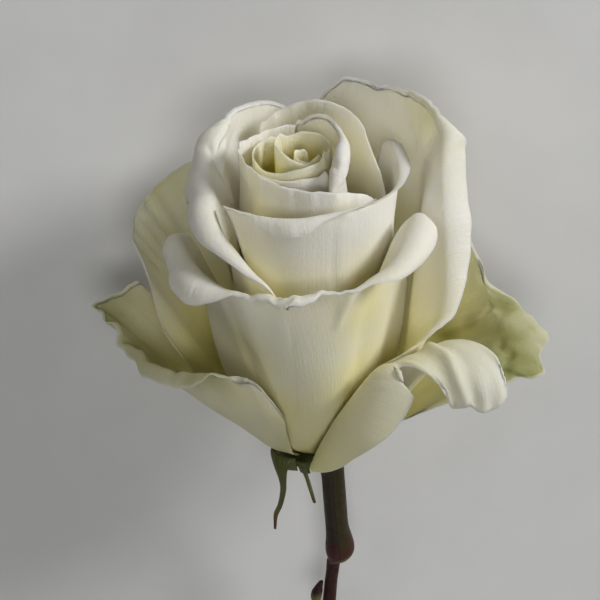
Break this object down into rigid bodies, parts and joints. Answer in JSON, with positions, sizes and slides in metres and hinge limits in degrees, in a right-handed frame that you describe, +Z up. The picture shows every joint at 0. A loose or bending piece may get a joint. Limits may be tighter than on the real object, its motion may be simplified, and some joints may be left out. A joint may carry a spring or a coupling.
{
  "type": "cut rose",
  "caption": "Half-open cut rose with layered cream-white petals, loose guard petals, reflexed sepals and a bare stem, lying on its back.",
  "frame": {"origin": "on the surface it lies on, under the middle of its bounding box", "axes": "+Y along the stem towards the bloom, +Z up, +X to the right as the picture shows it"},
  "size_m": [0.0966, 0.1728, 0.0646],
  "materials": {
    "petal": "matte, finely veined petal",
    "guard": "matte petal with a green tint",
    "heart": "matte petals, yellower inside",
    "sepal": "soft green leaf",
    "stem": "smooth dark bark",
    "bud": "reddish bud"
  },
  "bodies": {
    "root": {"stem": "stem", "bud": "bud", "sepal_1": "sepal", "sepal_2": "sepal", "sepal_3": "sepal", "sepal_4": "sepal", "sepal_5": "sepal", "heart": "heart", "inner_front": "petal", "inner_right": "petal", "inner_left": "petal", "inner_back": "petal", "front": "petal", "left": "petal", "back_inner": "petal", "lower_front": "petal", "right_back": "petal", "left_back": "petal", "back_right": "petal", "guard_left": "guard", "guard_front_right": "guard", "guard_right": "guard", "guard_back": "guard"}
  },
  "joints": []
}
